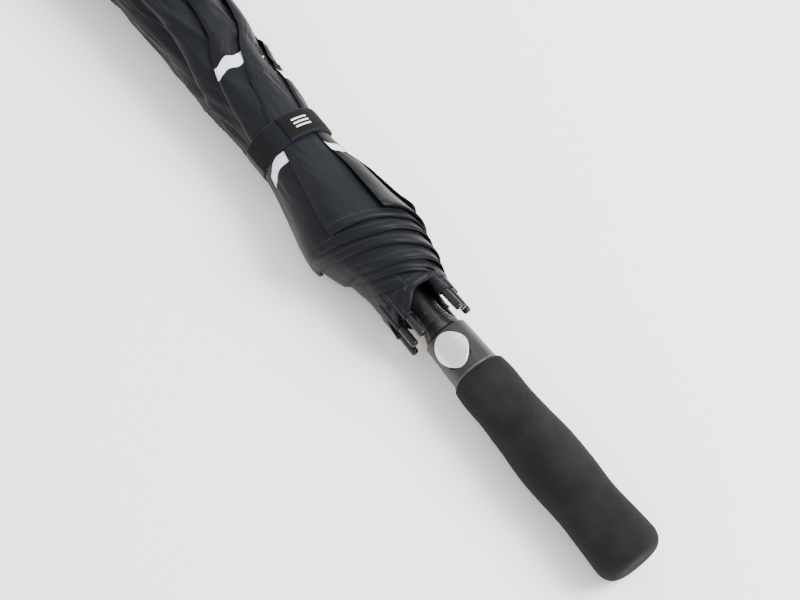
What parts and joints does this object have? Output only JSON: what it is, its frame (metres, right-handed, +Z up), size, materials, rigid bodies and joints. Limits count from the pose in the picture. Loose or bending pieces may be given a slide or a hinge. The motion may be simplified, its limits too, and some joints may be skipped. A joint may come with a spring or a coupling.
{
  "type": "golf umbrella",
  "caption": "Folded automatic golf umbrella with a straight shaft, hinged ribs and stretchers, sliding runner, cloth canopy, closing strap, push button and foam grip.",
  "frame": {"origin": "middle of the folded umbrella's box, on the floor it lies on", "axes": "+X along the umbrella towards the handle, +Z up from the floor"},
  "size_m": [1.007, 0.082, 0.0807],
  "materials": {
    "canopy_cloth": "satin polyester weave",
    "strap_cloth": "satin polyester weave",
    "label_weave": "dense woven label",
    "hook_tape": "hook and loop tape",
    "rib_rod": "pultruded glass fibre, black",
    "rib_fitting": "moulded nylon",
    "stretcher_steel": "black electrophoretic coat",
    "tip_plastic": "glossy black-brown moulding",
    "shaft_tube": "satin black tube",
    "moulded_black": "satin black moulding",
    "wire_steel": "drawn wire",
    "collar_plastic": "dark grey semi-gloss moulding",
    "button_silver": "silver satin",
    "core_plastic": "moulded core",
    "grip_foam": "fine-celled foam"
  },
  "bodies": {
    "root": {"shaft": "shaft_tube", "crown": "moulded_black", "crown_wire": "wire_steel", "canopy_cap": "moulded_black", "tip_ferrule": "moulded_black", "shaft_pins": "wire_steel", "drive_spring": "wire_steel", "handle_collar": "collar_plastic", "handle_core": "core_plastic", "foam_grip": "grip_foam", "button_spring": "wire_steel"},
    "runner": {"runner": "moulded_black", "runner_wire": "wire_steel", "drive_pin": "wire_steel"},
    "button": {"release_button": "button_silver", "latch_slider": "moulded_black"},
    "strap_tab": {"strap_tab": "strap_cloth", "strap_label": "label_weave"},
    "rib_1": {"rib_1": "rib_rod", "rib_hinges_1": "rib_fitting", "rib_tip_1": "tip_plastic"},
    "stretcher_1": {"stretcher_1": "stretcher_steel"},
    "panel_1": {"canopy_panel_1": "canopy_cloth"},
    "rib_2": {"rib_2": "rib_rod", "rib_hinges_2": "rib_fitting", "rib_tip_2": "tip_plastic"},
    "stretcher_2": {"stretcher_2": "stretcher_steel"},
    "panel_2": {"canopy_panel_2": "canopy_cloth"},
    "rib_3": {"rib_3": "rib_rod", "rib_hinges_3": "rib_fitting", "rib_tip_3": "tip_plastic"},
    "stretcher_3": {"stretcher_3": "stretcher_steel"},
    "panel_3": {"canopy_panel_3": "canopy_cloth"},
    "rib_4": {"rib_4": "rib_rod", "rib_hinges_4": "rib_fitting", "rib_tip_4": "tip_plastic"},
    "stretcher_4": {"stretcher_4": "stretcher_steel"},
    "panel_4": {"canopy_panel_4": "canopy_cloth"},
    "rib_5": {"rib_5": "rib_rod", "rib_hinges_5": "rib_fitting", "rib_tip_5": "tip_plastic"},
    "stretcher_5": {"stretcher_5": "stretcher_steel"},
    "panel_5": {"canopy_panel_5": "canopy_cloth"},
    "rib_6": {"rib_6": "rib_rod", "rib_hinges_6": "rib_fitting", "rib_tip_6": "tip_plastic"},
    "stretcher_6": {"stretcher_6": "stretcher_steel"},
    "panel_6": {"canopy_panel_6": "canopy_cloth"},
    "rib_7": {"rib_7": "rib_rod", "rib_hinges_7": "rib_fitting", "rib_tip_7": "tip_plastic"},
    "stretcher_7": {"stretcher_7": "stretcher_steel"},
    "panel_7": {"canopy_panel_7": "canopy_cloth"},
    "rib_8": {"rib_8": "rib_rod", "rib_hinges_8": "rib_fitting", "rib_tip_8": "tip_plastic", "strap_band": "strap_cloth", "hook_patch": "hook_tape"},
    "stretcher_8": {"stretcher_8": "stretcher_steel"},
    "panel_8": {"canopy_panel_8": "canopy_cloth"}
  },
  "joints": [
    {"name": "fold", "type": "hinge", "parent": "root", "child": "rib_1", "pos_m": [-0.45123, 0, 0.05445], "axis": [0, -1, 0], "range_deg": [0, 71.4], "deforming": ["canopy_panel_1", "canopy_panel_2", "canopy_panel_3", "canopy_panel_4", "canopy_panel_5", "canopy_panel_6", "canopy_panel_7", "canopy_panel_8", "strap_band", "hook_patch", "drive_spring"]},
    {"name": "rib_2_hinge", "type": "hinge", "parent": "root", "child": "rib_2", "pos_m": [-0.45129, -0.00601, 0.05196], "axis": [-0.0175, -0.7071, -0.7069], "range_deg": [0, 71.4]},
    {"name": "rib_3_hinge", "type": "hinge", "parent": "root", "child": "rib_3", "pos_m": [-0.45144, -0.0085, 0.04595], "axis": [-0.0248, 0, -0.9997], "range_deg": [0, 71.4]},
    {"name": "rib_4_hinge", "type": "hinge", "parent": "root", "child": "rib_4", "pos_m": [-0.45159, -0.00601, 0.03994], "axis": [-0.0175, 0.7071, -0.7069], "range_deg": [0, 71.4]},
    {"name": "rib_5_hinge", "type": "hinge", "parent": "root", "child": "rib_5", "pos_m": [-0.45165, 0, 0.03745], "axis": [0, 1, 0], "range_deg": [0, 71.4]},
    {"name": "rib_6_hinge", "type": "hinge", "parent": "root", "child": "rib_6", "pos_m": [-0.45159, 0.00601, 0.03994], "axis": [0.0175, 0.7071, 0.7069], "range_deg": [0, 71.4]},
    {"name": "rib_7_hinge", "type": "hinge", "parent": "root", "child": "rib_7", "pos_m": [-0.45144, 0.0085, 0.04595], "axis": [0.0248, 0, 0.9997], "range_deg": [0, 71.4]},
    {"name": "rib_8_hinge", "type": "hinge", "parent": "root", "child": "rib_8", "pos_m": [-0.45129, 0.00601, 0.05196], "axis": [0.0175, -0.7071, 0.7069], "range_deg": [0, 71.4]},
    {"name": "stretcher_1_hinge", "type": "hinge", "parent": "rib_1", "child": "stretcher_1", "pos_m": [-0.10627, 0, 0.04951], "axis": [0, -1, 0], "range_deg": [-142.8, 0]},
    {"name": "stretcher_2_hinge", "type": "hinge", "parent": "rib_2", "child": "stretcher_2", "pos_m": [-0.10635, -0.00857, 0.04596], "axis": [-0.0175, -0.7071, -0.7069], "range_deg": [-142.8, 0]},
    {"name": "stretcher_3_hinge", "type": "hinge", "parent": "rib_3", "child": "stretcher_3", "pos_m": [-0.10657, -0.01211, 0.0374], "axis": [-0.0248, 0, -0.9997], "range_deg": [-142.8, 0]},
    {"name": "stretcher_4_hinge", "type": "hinge", "parent": "rib_4", "child": "stretcher_4", "pos_m": [-0.10678, -0.00857, 0.02884], "axis": [-0.0175, 0.7071, -0.7069], "range_deg": [-142.8, 0]},
    {"name": "stretcher_5_hinge", "type": "hinge", "parent": "rib_5", "child": "stretcher_5", "pos_m": [-0.10687, 0, 0.02529], "axis": [0, 1, 0], "range_deg": [-142.8, 0]},
    {"name": "stretcher_6_hinge", "type": "hinge", "parent": "rib_6", "child": "stretcher_6", "pos_m": [-0.10678, 0.00857, 0.02884], "axis": [0.0175, 0.7071, 0.7069], "range_deg": [-142.8, 0]},
    {"name": "stretcher_7_hinge", "type": "hinge", "parent": "rib_7", "child": "stretcher_7", "pos_m": [-0.10657, 0.01211, 0.0374], "axis": [0.0248, 0, 0.9997], "range_deg": [-142.8, 0]},
    {"name": "stretcher_8_hinge", "type": "hinge", "parent": "rib_8", "child": "stretcher_8", "pos_m": [-0.10635, 0.00857, 0.04596], "axis": [0.0175, -0.7071, 0.7069], "range_deg": [-142.8, 0]},
    {"name": "runner_hinge", "type": "hinge", "parent": "stretcher_1", "child": "runner", "pos_m": [0.23852, 0, 0.03735], "axis": [0, -1, 0], "range_deg": [0, 71.4]},
    {"name": "panel_1_spread", "type": "hinge", "parent": "rib_1", "child": "panel_1", "pos_m": [-0.32778, -0.07233, 0.21756], "axis": [-0.572, 0.3188, -0.7558], "range_deg": [0, 51.62]},
    {"name": "panel_2_spread", "type": "hinge", "parent": "rib_2", "child": "panel_2", "pos_m": [-0.32153, -0.18668, 0.12008], "axis": [-0.5608, 0.7697, -0.305], "range_deg": [0, 51.62]},
    {"name": "panel_3_spread", "type": "hinge", "parent": "rib_3", "child": "panel_3", "pos_m": [-0.31328, -0.20374, -0.04189], "axis": [-0.545, 0.7697, 0.3324], "range_deg": [0, 51.62]},
    {"name": "panel_4_spread", "type": "hinge", "parent": "rib_4", "child": "panel_4", "pos_m": [-0.30788, -0.08939, -0.17347], "axis": [-0.5338, 0.3188, 0.7832], "range_deg": [0, 51.62]},
    {"name": "panel_5_spread", "type": "hinge", "parent": "rib_5", "child": "panel_5", "pos_m": [-0.30788, 0.08939, -0.17347], "axis": [-0.5338, -0.3188, 0.7832], "range_deg": [0, 51.62]},
    {"name": "panel_6_spread", "type": "hinge", "parent": "rib_6", "child": "panel_6", "pos_m": [-0.31328, 0.20374, -0.04189], "axis": [-0.545, -0.7697, 0.3324], "range_deg": [0, 51.62]},
    {"name": "panel_7_spread", "type": "hinge", "parent": "rib_7", "child": "panel_7", "pos_m": [-0.32153, 0.18668, 0.12008], "axis": [-0.5608, -0.7697, -0.305], "range_deg": [0, 51.62]},
    {"name": "panel_8_spread", "type": "hinge", "parent": "rib_8", "child": "panel_8", "pos_m": [-0.32778, 0.07233, 0.21756], "axis": [-0.572, -0.3188, -0.7558], "range_deg": [0, 51.62]},
    {"name": "button_press", "type": "slide", "parent": "root", "child": "button", "axis": [-0.0221, 0.454, -0.8907], "range_m": [0, 0.0025], "stiffness_N_per_m": 900, "springref_m": -0.003, "deforming": ["button_spring"]},
    {"name": "strap_tab_peel", "type": "hinge", "parent": "rib_8", "child": "strap_tab", "pos_m": [0.14445, 0.02675, 0.03399], "axis": [-0.9997, 0, 0.0248], "range_deg": [0, 90]}
  ],
  "couplings": [
    {"joint": "rib_2_hinge", "follows": "fold", "ratio": 1},
    {"joint": "rib_3_hinge", "follows": "fold", "ratio": 1},
    {"joint": "rib_4_hinge", "follows": "fold", "ratio": 1},
    {"joint": "rib_5_hinge", "follows": "fold", "ratio": 1},
    {"joint": "rib_6_hinge", "follows": "fold", "ratio": 1},
    {"joint": "rib_7_hinge", "follows": "fold", "ratio": 1},
    {"joint": "rib_8_hinge", "follows": "fold", "ratio": 1},
    {"joint": "stretcher_1_hinge", "follows": "fold", "ratio": -2},
    {"joint": "stretcher_2_hinge", "follows": "fold", "ratio": -2},
    {"joint": "stretcher_3_hinge", "follows": "fold", "ratio": -2},
    {"joint": "stretcher_4_hinge", "follows": "fold", "ratio": -2},
    {"joint": "stretcher_5_hinge", "follows": "fold", "ratio": -2},
    {"joint": "stretcher_6_hinge", "follows": "fold", "ratio": -2},
    {"joint": "stretcher_7_hinge", "follows": "fold", "ratio": -2},
    {"joint": "stretcher_8_hinge", "follows": "fold", "ratio": -2},
    {"joint": "runner_hinge", "follows": "fold", "ratio": 1},
    {"joint": "panel_1_spread", "follows": "fold", "ratio": 0.72289},
    {"joint": "panel_2_spread", "follows": "fold", "ratio": 0.72289},
    {"joint": "panel_3_spread", "follows": "fold", "ratio": 0.72289},
    {"joint": "panel_4_spread", "follows": "fold", "ratio": 0.72289},
    {"joint": "panel_5_spread", "follows": "fold", "ratio": 0.72289},
    {"joint": "panel_6_spread", "follows": "fold", "ratio": 0.72289},
    {"joint": "panel_7_spread", "follows": "fold", "ratio": 0.72289},
    {"joint": "panel_8_spread", "follows": "fold", "ratio": 0.72289}
  ]
}
